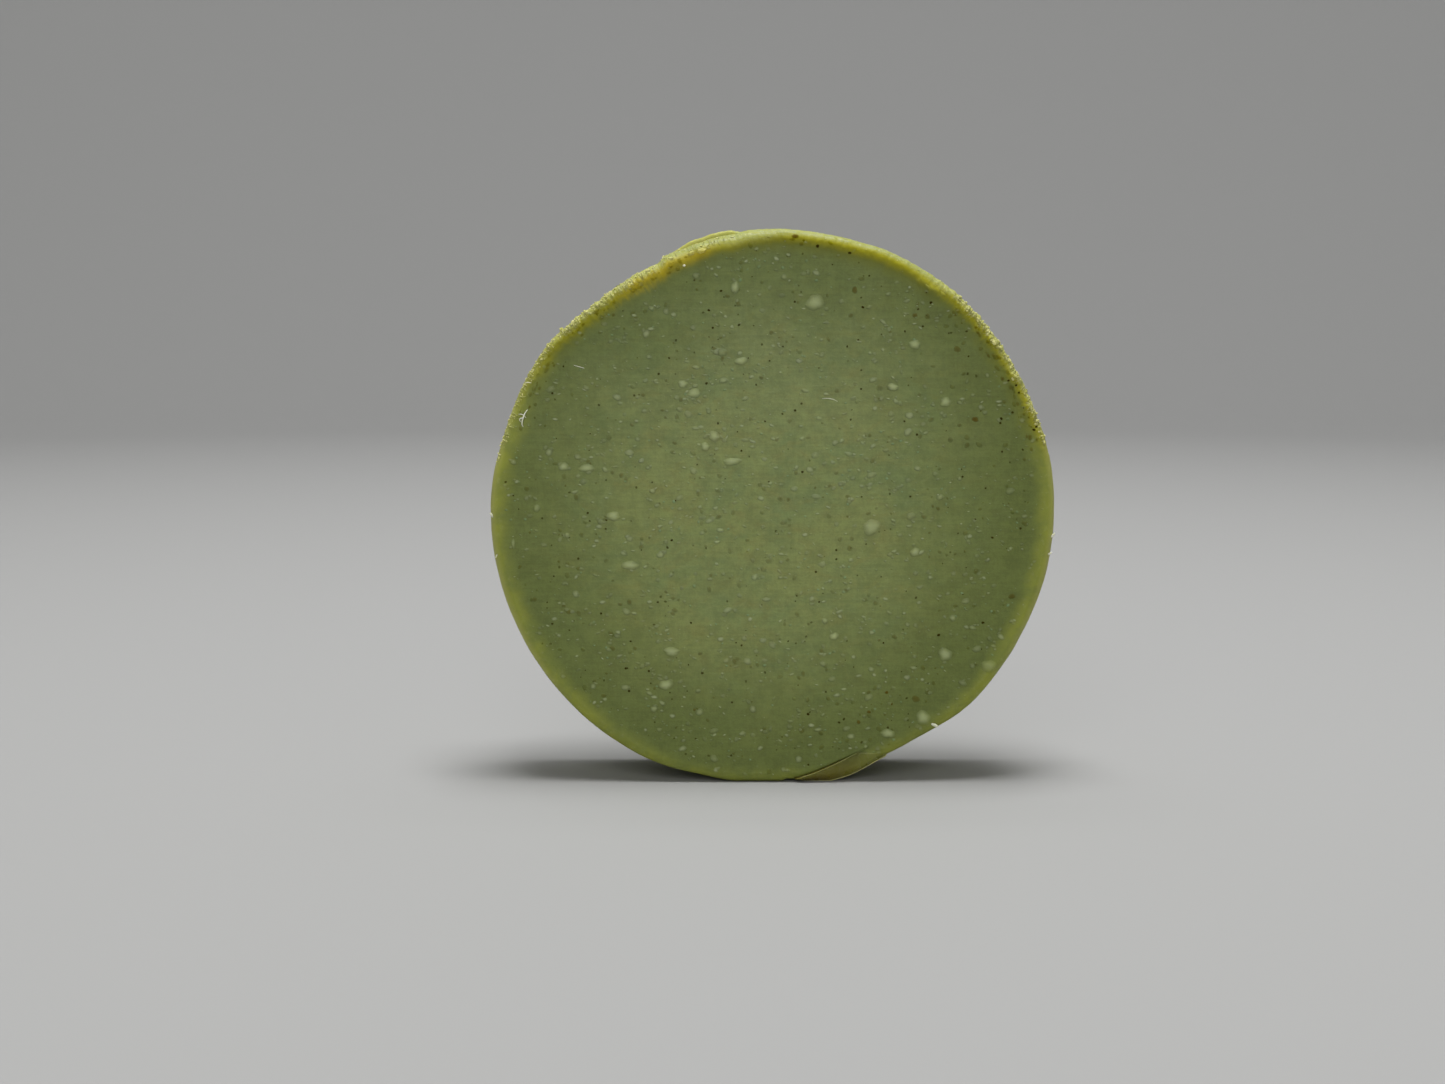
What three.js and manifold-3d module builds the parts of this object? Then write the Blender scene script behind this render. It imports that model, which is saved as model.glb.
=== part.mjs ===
// Shaving soap puck: a cast round cake of soap, cut flat on both faces and standing on its rim.
// Millimetres, +Z up. The front face looks along -Y and the back face along +Y.
// The origin is under the middle of the cake, on the surface that it stands on.
import * as THREE from 'three';
import { mergeVertices } from 'three/addons/utils/BufferGeometryUtils.js';
import Module from 'manifold-3d';

const wasm = await Module();
wasm.setup();

// ---- Driving dimensions ----
const RADIUS = 38.0; // a cake from a three inch round mould
const THICKNESS = 16.0;
const CENTRE_HEIGHT = 37.3; // less than RADIUS, because the foot is worn flat
const RIND_WIDTH = 2.4; // the dried skin round the rim
const FRONT_EDGE_ROLL = 1.2; // rounding of the rim into the front face
const BACK_EDGE_ROLL = 0.8;
const GAP = 0.3; // clearance between pieces that touch
const FOOT_CLEARANCE = 0.05; // the least height of a trim piece above the foot
const RIM_SEGMENTS = 120;
const FRONT_Y = -THICKNESS / 2;
const BACK_Y = THICKNESS / 2;

// Where the hand-cut outline leaves the circle. Angles run from +X towards +Z, in degrees;
// rampIn and rampOut are how many degrees each end takes; height is in millimetres.
const OUTLINE_CHANGES = [
  { from: 168, to: 252, rampIn: 12, rampOut: 12, height: 0.27 }, // full lower left
  { from: -24, to: 16, rampIn: 10, rampOut: 8, height: 0.2 }, // full right side
  { from: 15, to: 37, rampIn: 5, rampOut: 6, height: -0.2 }, // shallow flat, upper right
  { from: 38, to: 76, rampIn: 14, rampOut: 10, height: 0.2 }, // full shoulder, upper right
  { from: 94, to: 116, rampIn: 5, rampOut: 4, height: -0.35 }, // under the torn lip
  { from: 100, to: 172, rampIn: 12, rampOut: 10, height: -0.3 }, // upper left, a little flat
  { from: 112.5, to: 145, rampIn: 3, rampOut: 15, height: -0.95 }, // where a slice tore away
  { from: 249, to: 276, rampIn: 6, rampOut: 8, height: -0.33 }, // left of the foot
  { from: 285.5, to: 317, rampIn: 9, rampOut: 16, height: -0.92 }, // pared flat, lower right
];

// Hard pale lumps that the blade has cut through: centre on the front face, width, height and
// tilt in degrees. x and z are in the part's frame.
const GRANULE_PROUD = 0.2;
const GRANULES = [
  { x: 5.6, z: 65.3, width: 1.9, height: 1.9, tilt: 0 },
  { x: 13.4, z: 35.1, width: 1.9, height: 1.9, tilt: 0 },
  { x: -5.5, z: 44.0, width: 1.9, height: 0.9, tilt: 0 },
  { x: -7.9, z: 47.4, width: 1.3, height: 1.2, tilt: 0 },
  { x: -9.1, z: 46.0, width: 1.1, height: 0.9, tilt: 20 },
  { x: -21.5, z: 36.6, width: 1.6, height: 1.0, tilt: 0 },
  { x: -28.2, z: 43.3, width: 1.3, height: 0.9, tilt: 0 },
  { x: -25.1, z: 43.1, width: 1.6, height: 1.0, tilt: 0 },
  { x: -19.3, z: 29.9, width: 1.9, height: 1.0, tilt: -15 },
  { x: 19.0, z: 59.7, width: 1.4, height: 1.0, tilt: 0 },
  { x: 16.1, z: 54.0, width: 1.2, height: 0.9, tilt: 0 },
  { x: 23.2, z: 52.0, width: 1.4, height: 1.0, tilt: 15 },
  { x: 23.5, z: 17.7, width: 1.9, height: 1.2, tilt: 30 },
  { x: 29.5, z: 16.1, width: 1.9, height: 1.2, tilt: 35 },
  { x: 15.8, z: 6.8, width: 1.5, height: 1.1, tilt: 10 },
  { x: 20.6, z: 9.0, width: 1.8, height: 1.5, tilt: 15 },
  { x: -14.5, z: 13.5, width: 1.6, height: 1.2, tilt: 10 },
  { x: -13.7, z: 18.1, width: 1.9, height: 1.0, tilt: 0 },
  { x: -10.6, z: 53.2, width: 1.6, height: 1.0, tilt: 0 },
  { x: -12.1, z: 54.4, width: 1.0, height: 1.0, tilt: 0 },
  { x: -4.3, z: 57.5, width: 1.4, height: 0.9, tilt: 0 },
  { x: -5.1, z: 67.3, width: 0.9, height: 1.5, tilt: 0 },
  { x: 19.3, z: 31.7, width: 1.1, height: 1.1, tilt: 0 },
  { x: 8.4, z: 20.2, width: 1.1, height: 0.9, tilt: 0 },
];

// Crumbs and flakes that cling to the edge of the front face.
const FLAKES = [
  { name: 'edge_flake_left_upper', x: -38.0, y: -8.15, z: 36.7, size: [0.35, 0.25, 0.6], tilt: 10 },
  { name: 'edge_flake_left_lower', x: -37.4, y: -8.25, z: 31.2, size: [0.3, 0.25, 0.5], tilt: -20 },
  { name: 'edge_flake_right_upper', x: 38.0, y: -8.2, z: 34.0, size: [0.3, 0.25, 0.5], tilt: 25 },
  { name: 'edge_flake_right_lower', x: 37.6, y: -8.25, z: 31.5, size: [0.35, 0.25, 0.45], tilt: -15 },
  { name: 'white_flake_lower_right', x: 22.3, y: -8.3, z: 7.8, size: [0.5, 0.15, 0.22], tilt: -28 },
  { name: 'crumb_upper_left', x: -11.9, y: -8.6, z: 70.2, size: [0.3, 0.22, 0.25], tilt: 0 },
];

// A crescent of rind at the lower right, lifted by the cutter: where it starts and ends.
const PARING = { from: 275, to: 296, width: 2.2, skew: 1.35, depth: 2.8, proud: 0.35 };
// A thin torn lip on top of the rim, behind the front edge.
const LIP = { from: 97, to: 111, width: 0.7, skew: 1, frontY: -5.6, depth: 0.8 };

// ---- Materials ----
const soapGreen = material(0x8a9560, 0.62);
const rindYellow = material(0x9aa04c, 0.45);
const paringOlive = material(0x6e6b30, 0.35);
const granulePale = material(0xaab98a, 0.5);
const flakePale = material(0xd9dcae, 0.6);

function material(color, roughness) {
  return new THREE.MeshStandardMaterial({ color, roughness, metalness: 0 });
}

// ---- The outline ----
function smoothRamp(share) {
  return THREE.MathUtils.smoothstep(share, 0, 1);
}

function outlineRadius(degrees) {
  let radius = RADIUS;
  for (const change of OUTLINE_CHANGES) {
    const along = THREE.MathUtils.euclideanModulo(degrees - change.from, 360);
    const left = change.to - change.from - along;
    radius += change.height * smoothRamp(along / change.rampIn) * smoothRamp(left / change.rampOut);
  }
  return radius;
}

// The distance from the cake's middle down to the foot's plane, along one direction.
function footLimit(degrees) {
  const down = -Math.sin(THREE.MathUtils.degToRad(degrees));
  return down > 0 ? CENTRE_HEIGHT / down : Infinity;
}

// Turns a round body about the Y axis into one that follows the outline and the flat foot.
function followOutline(geometry) {
  const position = geometry.attributes.position;
  for (let i = 0; i < position.count; i++) {
    const x = position.getX(i);
    const z = position.getZ(i);
    const round = Math.hypot(x, z);
    if (round === 0) continue;
    const degrees = THREE.MathUtils.radToDeg(Math.atan2(z, x));
    const wanted = Math.min((round * outlineRadius(degrees)) / RADIUS, footLimit(degrees));
    position.setX(i, (x * wanted) / round);
    position.setZ(i, (z * wanted) / round);
  }
  return geometry;
}

// ---- Solids ----
function toSolid(geometry) {
  const bare = geometry.clone();
  bare.deleteAttribute('normal');
  bare.deleteAttribute('uv');
  const merged = mergeVertices(bare, 1e-4);
  return new wasm.Manifold(
    new wasm.Mesh({
      numProp: 3,
      vertProperties: new Float32Array(merged.attributes.position.array),
      triVerts: new Uint32Array(merged.index.array),
    }),
  );
}

function toGeometry(solid) {
  const mesh = solid.getMesh();
  const geometry = new THREE.BufferGeometry();
  geometry.setAttribute('position', new THREE.BufferAttribute(mesh.vertProperties, 3));
  geometry.setIndex(new THREE.BufferAttribute(mesh.triVerts, 1));
  geometry.computeVertexNormals();
  return geometry;
}

// Cuts every hollow that lies inside the body's reach, and gives the body's geometry back.
function cutHollows(geometry, hollows) {
  let solid = toSolid(geometry);
  for (const hollow of hollows) {
    solid = solid.subtract(toSolid(hollow));
  }
  return toGeometry(solid);
}

// ---- Shapes ----
function arcPoints(centreR, centreY, radius, fromDegrees, toDegrees, steps) {
  const points = [];
  for (let i = 0; i <= steps; i++) {
    const a = THREE.MathUtils.degToRad(fromDegrees + ((toDegrees - fromDegrees) * i) / steps);
    points.push(new THREE.Vector2(centreR + radius * Math.cos(a), centreY + radius * Math.sin(a)));
  }
  return points;
}

function coreShape() {
  const radius = RADIUS - RIND_WIDTH - GAP;
  const profile = [
    new THREE.Vector2(0, FRONT_Y),
    new THREE.Vector2(radius, FRONT_Y),
    new THREE.Vector2(radius, BACK_Y),
    new THREE.Vector2(0, BACK_Y),
  ];
  return followOutline(new THREE.LatheGeometry(profile, RIM_SEGMENTS));
}

function rindShape() {
  const inner = RADIUS - RIND_WIDTH;
  const front = arcPoints(RADIUS - FRONT_EDGE_ROLL, FRONT_Y + FRONT_EDGE_ROLL, FRONT_EDGE_ROLL, -90, 0, 4);
  const back = arcPoints(RADIUS - BACK_EDGE_ROLL, BACK_Y - BACK_EDGE_ROLL, BACK_EDGE_ROLL, 0, 90, 3);
  const start = new THREE.Vector2(inner, FRONT_Y);
  const profile = [start, ...front, ...back, new THREE.Vector2(inner, BACK_Y), start.clone()];
  return followOutline(new THREE.LatheGeometry(profile, RIM_SEGMENTS));
}

// A crescent between two angles, lying in the plane of the face. edges gives its inner and outer
// distance from the cake's middle, from the rim's own distance and a taper that is 0 at both ends.
// A skew above 1 moves the widest place towards the end.
function crescentShape({ from, to, skew, frontY, depth, edges }) {
  const steps = 16;
  const outer = [];
  const inner = [];
  for (let i = 0; i <= steps; i++) {
    const share = i / steps;
    const degrees = from + (to - from) * share;
    const rim = Math.min(outlineRadius(degrees), footLimit(degrees) - FOOT_CLEARANCE);
    const [near, far] = edges(rim, Math.sin(Math.PI * share ** skew) ** 0.7);
    const angle = THREE.MathUtils.degToRad(degrees);
    const direction = new THREE.Vector2(Math.cos(angle), Math.sin(angle));
    outer.push(direction.clone().multiplyScalar(far));
    if (far - near > 1e-3) inner.push(direction.clone().multiplyScalar(near));
  }
  const shape = new THREE.Shape([...outer, ...inner.reverse()]);
  const solid = new THREE.ExtrudeGeometry(shape, { depth, bevelEnabled: false });
  return solid.rotateX(Math.PI / 2).translate(0, frontY + depth, 0);
}

function paringShape() {
  return crescentShape({
    ...PARING,
    frontY: FRONT_Y - PARING.proud,
    edges: (rim, taper) => [rim - PARING.width * taper, rim],
  });
}

// The bed that the paring lies in, open towards the front and the rim.
function paringBed() {
  const ends = THREE.MathUtils.radToDeg(GAP / RADIUS);
  const opening = 1;
  return crescentShape({
    from: PARING.from - ends,
    to: PARING.to + ends,
    skew: PARING.skew,
    frontY: FRONT_Y - opening,
    depth: opening + PARING.depth - PARING.proud + GAP,
    edges: (rim, taper) => [rim - PARING.width * taper - GAP, rim + opening],
  });
}

function lipShape() {
  return crescentShape({ ...LIP, edges: (rim, taper) => [rim + GAP, rim + GAP + LIP.width * taper] });
}

function granuleShape(granule, growth) {
  const deep = (granule.width + granule.height) / 2;
  const shape = new THREE.SphereGeometry(1, 10, 6);
  shape.scale(granule.width / 2 + growth, deep / 2 + growth, granule.height / 2 + growth);
  shape.rotateY(-THREE.MathUtils.degToRad(granule.tilt));
  return shape.translate(granule.x, FRONT_Y - GRANULE_PROUD + deep / 2, granule.z - CENTRE_HEIGHT);
}

function flakeShape(flake) {
  const shape = new THREE.IcosahedronGeometry(1, 0);
  shape.scale(...flake.size);
  shape.rotateY(-THREE.MathUtils.degToRad(flake.tilt));
  return shape.translate(flake.x, flake.y, flake.z - CENTRE_HEIGHT);
}

// A thin paring of soap, hooked over on itself, at the upper left edge.
function curlShape() {
  const path = new THREE.CatmullRomCurve3([
    new THREE.Vector3(-33.1, -8.5, 10.9),
    new THREE.Vector3(-33.3, -8.6, 12.2),
    new THREE.Vector3(-33.7, -8.65, 13.3),
    new THREE.Vector3(-34.3, -8.6, 13.9),
    new THREE.Vector3(-34.7, -8.5, 13.3),
  ]);
  const section = new THREE.Shape();
  section.absellipse(0, 0, 0.12, 0.25, 0, 2 * Math.PI, false, 0);
  return new THREE.ExtrudeGeometry(section, { steps: 14, extrudePath: path, curveSegments: 4 });
}

// ---- The puck ----
const puck = new THREE.Group();
const cake = new THREE.Group();
cake.position.z = CENTRE_HEIGHT;
puck.add(cake);

function addPart(name, geometry, look) {
  const mesh = new THREE.Mesh(geometry, look);
  mesh.name = name;
  cake.add(mesh);
}

const hollows = [paringBed(), ...GRANULES.map((granule) => granuleShape(granule, GAP))];
addPart('soap_core', cutHollows(coreShape(), hollows), soapGreen);
addPart('rim_rind', cutHollows(rindShape(), hollows), rindYellow);
addPart('lifted_paring', paringShape(), paringOlive);
addPart('top_burr_lip', lipShape(), rindYellow);
addPart('curl_shaving', curlShape(), flakePale);
GRANULES.forEach((granule, i) => {
  addPart(`granule_${String(i + 1).padStart(2, '0')}`, granuleShape(granule, 0), granulePale);
});
for (const flake of FLAKES) {
  addPart(flake.name, flakeShape(flake), flakePale);
}

// The crumbs make the two sides unequal, so the whole cake is centred over the origin.
puck.updateMatrixWorld(true);
const middle = new THREE.Box3().setFromObject(puck, true).getCenter(new THREE.Vector3());
cake.position.x -= middle.x;
cake.position.y -= middle.y;

export default puck;
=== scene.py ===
"""A shaving soap puck: a cast cake of green soap that stands on its rim, with a dried yellow rind.

Lengths are millimetres until a mesh is made. Angles go round the cake's middle in degrees, from +X
towards +Z. An inset is how far inside the rim a point of the face lies."""

import math

import bmesh
import bpy
import numpy as np
from mathutils import Matrix, Vector, noise


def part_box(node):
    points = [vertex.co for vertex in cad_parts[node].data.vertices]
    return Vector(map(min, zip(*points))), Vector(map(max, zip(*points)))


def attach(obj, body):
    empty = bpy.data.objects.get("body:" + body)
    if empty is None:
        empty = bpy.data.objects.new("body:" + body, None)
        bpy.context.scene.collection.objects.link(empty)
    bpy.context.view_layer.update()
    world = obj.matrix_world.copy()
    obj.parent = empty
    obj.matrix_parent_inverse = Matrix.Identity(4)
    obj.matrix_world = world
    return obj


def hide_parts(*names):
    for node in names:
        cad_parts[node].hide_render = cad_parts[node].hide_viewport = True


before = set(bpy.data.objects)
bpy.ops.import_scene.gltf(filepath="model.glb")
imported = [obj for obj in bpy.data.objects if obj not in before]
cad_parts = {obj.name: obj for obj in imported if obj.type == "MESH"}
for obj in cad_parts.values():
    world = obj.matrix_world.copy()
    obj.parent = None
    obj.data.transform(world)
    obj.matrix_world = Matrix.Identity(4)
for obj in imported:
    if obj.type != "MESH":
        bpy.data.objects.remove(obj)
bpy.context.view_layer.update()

# ---- Driving dimensions, as in the frame ----
MM = 0.001
RADIUS = 38.0
CENTRE_HEIGHT = 37.3
rind_low, rind_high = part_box("rim_rind")
FRONT_Y = rind_low.y / MM
BACK_Y = rind_high.y / MM

# The outline's changes from the circle: from, to, ramp in and ramp out in degrees, height.
OUTLINE_CHANGES = (
    (168, 252, 12, 12, 0.27),
    (-24, 16, 10, 8, 0.2),
    (15, 37, 5, 6, -0.2),
    (38, 76, 14, 10, 0.2),
    (56, 122, 20, 14, -0.16),
    (94, 116, 5, 4, -0.35),
    (100, 172, 12, 10, -0.3),
    (112.5, 145, 3, 15, -0.95),
    (249, 276, 6, 8, -0.33),
    (285.5, 317, 9, 16, -0.92),
)

# ---- Stretches of the rim: from, to, ramp in and ramp out in degrees ----
TORN_ARC = (8, 162, 14, 26)  # the rind is torn, from right to left over the top
SMEARED_ARC = (48, 119, 10, 9)  # the torn rind is smeared smooth instead of ragged
BEVELLED_ARC = (88, 131, 7, 10)  # a slice tore away and left a wide bevel
AMBER_ARC = (100, 130, 6, 10)  # the golden band turns amber
EDGE_LIGHT_ARC = (-45, 228, 25, 20)  # painted highlight: the edge is paler where the rounded edge catches more light
SHADED_FOOT_ARC = (222, 328, 34, 26)  # painted shade: less of the yellow rind shows on the shaded foot
FOOT_SHADE_SHIFT = 0.9  # how much further in a point of the foot then seems to lie, for the painted shade
NOTCH_ARC = (272.2, 275.6, 0.8, 0.6)  # a chip out of the foot beside the paring
NOTCH_DEPTH = 0.28

# ---- The front edge ----
EDGE_ZONE = 3.4  # the inset where the finer rings of the face start
SMOOTH_ROLL = 1.3  # rounding of the edge where the rind is whole
TORN_ROLL = 0.9  # rounding of the edge along the torn upper arc
BACK_ROLL = 0.8
RIDGE_HEIGHT = 0.42  # how far the torn rind stands in front of the face
# Lumps on the torn rind: angle, inset, half length round the rim, half width, height.
TORN_LUMPS = (
    (113.5, 0.9, 2.2, 0.9, 0.35),
    (105.5, 0.7, 1.0, 0.6, 0.35),
    (124.0, 0.6, 1.4, 0.6, 0.2),
    (54.5, 1.7, 1.9, 0.5, 0.3),
    (47.0, 1.2, 1.2, 0.5, 0.2),
    (37.8, 0.8, 0.7, 0.5, 0.35),
    (29.4, 0.7, 0.6, 0.4, 0.3),
)
# How wide the pale crest and the golden band of the torn rind are: angle, crest, band.
BAND_WIDTHS = (
    (0, 0.5, 1.0),
    (15, 0.6, 1.5),
    (30, 0.85, 1.6),
    (46, 0.85, 1.9),
    (54, 1.0, 2.1),
    (62, 0.75, 2.0),
    (86, 0.85, 1.95),
    (94, 1.6, 2.2),
    (98, 1.5, 2.3),
    (102, 1.2, 2.4),
    (110, 1.15, 2.6),
    (119, 1.1, 2.7),
    (126, 1.1, 2.4),
    (142, 0.9, 2.0),
    (152, 0.7, 1.7),
    (165, 0.5, 1.0),
    (360, 0.5, 1.0),
)
# The crease above the lifted paring runs up to the right across the face.
CREASE_LEFT, CREASE_RIGHT = 3.3, 12.2
CREASE_START_Z, CREASE_SLOPE, CREASE_BEND = -36.73, 0.31, 0.0153
CREASE_DEPTH, CREASE_HALF_WIDTH = 0.26, 0.12
LOWER_FACE_Z = -25  # the crease and the bed of the paring are all below this
BED_DEPTH = 0.8
PARING_RIGHT = 15.8
PARING_SHOULDER_Z = -33.15  # the flap's upper edge levels off here, where its crease ends
PARING_STEPS = 150
PARING_LINES = 14
PARING_BULGE = 1.25  # how far back the flap curves towards its rim

# ---- How finely the cake's skin is divided ----
RIM_COLUMNS = 1200
INNER_RINGS = 14
ZONE_RINGS = 15
ROLL_RINGS = 9
WALL_RINGS = 22
BACK_RINGS = 8


def smooth(share):
    share = np.clip(share, 0.0, 1.0)
    return share * share * (3 - 2 * share)


def window(angle, start, end, ramp_in, ramp_out):
    """1 between two angles and 0 outside them, with a smooth ramp at each end."""
    along = np.mod(angle - start, 360.0)
    left = end - start - along
    return smooth(along / ramp_in) * smooth(left / ramp_out)


def noise_at(x, y, z, scale, detail=0):
    """Smooth noise, about -1 to 1, at millimetre points; scale is the size of a lump."""
    points = np.broadcast_arrays(*(np.asarray(v, float) for v in (x, y, z)))
    flat = np.stack([p.ravel() for p in points], axis=1) / scale
    if detail:
        values = [noise.fractal(Vector(p), 1.0, 2.0, detail + 1) for p in flat]
    else:
        values = [noise.noise(Vector(p)) for p in flat]
    return np.array(values).reshape(points[0].shape)


def direction(angle):
    radians = np.radians(angle)
    return np.cos(radians), np.sin(radians)


def at_polar(angle, radius, y):
    """Points at angles and distances round the cake's middle."""
    across, up = direction(angle)
    return np.stack(np.broadcast_arrays(radius * across, y, radius * up), axis=-1)


def torn(angle):
    """How far the rind is torn at an angle, 0 to 1."""
    return window(angle, *TORN_ARC)


def smeared(angle):
    return window(angle, *SMEARED_ARC)


def bevelled(angle):
    return window(angle, *BEVELLED_ARC)


def tearing(angle):
    """How far the ragged front edge leaves the outline, along the torn arc."""
    across, up = direction(angle)
    amount = torn(angle) * (0.17 - 0.11 * smeared(angle))
    return amount * noise_at(across, up, 5, 0.02, detail=2)


def rim_outline(angle):
    """The rim's distance from the cake's middle, with the unevenness of a hand-cut edge."""
    radius = np.full(np.shape(angle), RADIUS)
    for start, end, ramp_in, ramp_out, height in OUTLINE_CHANGES:
        radius = radius + height * window(angle, start, end, ramp_in, ramp_out)
    across, up = direction(angle)
    radius = radius + 0.06 * noise_at(across, up, 0, 0.08)
    down = np.maximum(-up, 1e-6)
    return np.minimum(radius, CENTRE_HEIGHT / down)


def outline(angle):
    """The rim at the front edge, torn along the top and chipped at the foot."""
    return rim_outline(angle) + tearing(angle) - NOTCH_DEPTH * window(angle, *NOTCH_ARC)


def crease_line(x):
    """How high the crease runs at a place across the face."""
    along = x - CREASE_LEFT
    return CREASE_START_Z + CREASE_SLOPE * along + CREASE_BEND * along ** 2


def crease(x, z):
    """1 along the middle of the crease and 0 away from it."""
    off = (z - crease_line(x)) / CREASE_HALF_WIDTH
    reach = smooth((x - CREASE_LEFT + 0.6) / 0.6) * smooth((CREASE_RIGHT - x) / 3.5)
    return np.exp(-off * off) * reach * (z < LOWER_FACE_Z)


def bed(x, z):
    """1 where the rind has come away under the lifted paring."""
    reach = smooth((x - CREASE_LEFT + 0.3) / 0.8) * smooth((PARING_RIGHT - 1.7 - x) / 4.5)
    return reach * smooth((crease_line(x) - z) / 0.3) * (z < LOWER_FACE_Z)


def ridge(angle, inset):
    """How far the torn rind stands in front of the face at an angle and inset."""
    across, up = direction(angle)
    height = RIDGE_HEIGHT * torn(angle) * (1 - 0.6 * smeared(angle))
    height = height * (1 + 0.45 * noise_at(across, up, 2, 0.07, detail=1))
    total = height * smooth((2.3 - inset) / 1.7)
    for at, middle, half_length, half_width, lump in TORN_LUMPS:
        along = (np.mod(angle - at + 180, 360) - 180) * math.radians(RADIUS) / half_length
        total = total + lump * np.exp(-along ** 2 - ((inset - middle) / half_width) ** 2)
    comb = noise_at(across * RADIUS, up * RADIUS, inset * 0.35, 0.3, detail=1)
    rough = noise_at(across * RADIUS, up * RADIUS, inset, 0.55, detail=2)
    both = (0.06 * comb + 0.17 * rough) * (1 - 0.65 * smeared(angle))
    return total + torn(angle) * both * smooth((2.2 - inset) / 1.2)


def roll_radius(angle):
    rough = torn(angle) * (1 - smeared(angle))
    return SMOOTH_ROLL + (TORN_ROLL - SMOOTH_ROLL) * rough + 0.7 * bevelled(angle)


def rolled(inset, radius):
    """How far back the rounded edge lies at an inset."""
    past = np.clip(radius - inset, 0, radius)
    return radius - np.sqrt(np.maximum(radius ** 2 - past ** 2, 0))


def face_wave(x, z):
    """The slight unevenness that the blade has left in a cut face."""
    drag = noise_at(x * 0.06, 3, z, 1.4)
    return 0.03 * noise_at(x, 0, z, 9.0) + 0.008 * drag


def front_y(angle, inset, radius):
    """The front surface's Y at polar places; radius is the distance from the cake's middle."""
    across, up = direction(angle)
    y = FRONT_Y + rolled(inset, roll_radius(angle)) - ridge(angle, inset)
    y = y + face_wave(radius * across, radius * up) * smooth(inset / 2)
    x, z = radius * across, radius * up
    return y + CREASE_DEPTH * crease(x, z) + BED_DEPTH * bed(x, z)


def polar(x, z):
    """Angle, inset and distance from the middle of places on the face."""
    angle = np.mod(np.degrees(np.arctan2(z, x)), 360)
    radius = np.hypot(x, z)
    return angle, outline(angle) - radius, radius


def surface_y(x, z):
    return front_y(*polar(x, z))


def skin_attributes(points):
    """What the soap's material reads at each point; crest and band count insets in widths."""
    x, y, z = points.T
    angle, inset, _ = polar(x, z)
    near_front = smooth((FRONT_Y + 3.0 - y) / 2.0)
    angles, crest_widths, band_widths = zip(*BAND_WIDTHS)
    return {
        # painted shade: the foot counts as lying further in, so less yellow rind shows there
        "rim_depth": inset + FOOT_SHADE_SHIFT * window(angle, *SHADED_FOOT_ARC),
        "torn": torn(angle) * near_front,
        "ragged": torn(angle) * (1 - smeared(angle)),
        "amber": window(angle, *AMBER_ARC),
        # painted shadow along the crease above the paring
        "crease_shadow": crease(x, z) * near_front,
        "crest": inset / np.interp(angle, angles, crest_widths),
        "band": inset / np.interp(angle, angles, band_widths),
        "painted_edge_light": window(angle, *EDGE_LIGHT_ARC) * near_front,
    }


# ---- Meshes ----
def linked(name, data):
    """A new object in the scene."""
    item = bpy.data.objects.new(name, data)
    bpy.context.scene.collection.objects.link(item)
    return item


def make_object(name, shape, material, smooth_shaded=True):
    """A mesh piece riding on the cake; shape is (points from the cake's middle, faces, pale)."""
    points, faces, pale = shape
    points = np.asarray(points, float)
    mesh = bpy.data.meshes.new(name)
    placed = (points + (0, 0, CENTRE_HEIGHT)) * MM
    placed[:, 2] = np.maximum(placed[:, 2], 0.0)
    mesh.from_pydata(placed.tolist(), [], faces)
    attributes = {**skin_attributes(points), "pale": pale}
    for key, values in attributes.items():
        layer = mesh.attributes.new(key, "FLOAT", "POINT")
        layer.data.foreach_set("value", np.asarray(values, np.float32))
    mesh.materials.append(material)
    face_outwards(mesh)
    mesh.polygons.foreach_set("use_smooth", [smooth_shaded] * len(mesh.polygons))
    mesh.update()
    piece = linked(name, mesh)
    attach(piece, "root")
    return piece


def face_outwards(mesh):
    shape = bmesh.new()
    shape.from_mesh(mesh)
    bmesh.ops.recalc_face_normals(shape, faces=shape.faces)
    shape.to_mesh(mesh)
    shape.free()


def rim_angles():
    """Angles round the rim, twice as close together along the torn arc."""
    fine = np.linspace(0, 360, 3601)
    weight = 1 + window(fine, 2, 174, 6, 6)
    share = np.concatenate([[0], np.cumsum((weight[1:] + weight[:-1]) / 2)])
    return np.interp(np.linspace(0, 1, RIM_COLUMNS + 1)[:-1], share / share[-1], fine)


def front_rings(angle, edge):
    """(inset, y) of each ring of the front, from near the middle out to the wall."""
    rings = []
    radius = roll_radius(angle)
    for i in range(1, INNER_RINGS):
        distance = (edge - EDGE_ZONE) * i / INNER_RINGS
        rings.append(edge - distance)
    for i in range(ZONE_RINGS):
        rings.append(EDGE_ZONE + (radius - EDGE_ZONE) * i / ZONE_RINGS)
    for i in range(ROLL_RINGS):
        rings.append(radius * (1 - math.sin(math.pi / 2 * i / ROLL_RINGS)))
    return [(inset, front_y(angle, inset, edge - inset)) for inset in rings]


def wall_wave(angle, y):
    """Dents and lengthwise streaks in the outside of the rim."""
    across, up = direction(angle)
    dents = noise_at(across * RADIUS, y, up * RADIUS, 3.5, detail=2)
    streaks = noise_at(across * RADIUS, y * 0.06, up * RADIUS, 0.8, detail=1)
    return 0.06 * dents + 0.022 * streaks


def wall_rings(angle, edge):
    """(inset, y) of each ring of the rim's outside."""
    start = front_y(angle, np.zeros_like(angle), edge)
    end = BACK_Y - BACK_ROLL
    ragged = edge - rim_outline(angle)
    rings = []
    for i in range(WALL_RINGS + 1):
        share = i / WALL_RINGS
        y = start + (end - start) * share
        away = smooth(share * 8) * smooth((1 - share) * 8)
        inset = ragged * smooth(share * 5) - (wall_wave(angle, y) - 0.04) * away
        rings.append((inset, y))
    return rings


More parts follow.
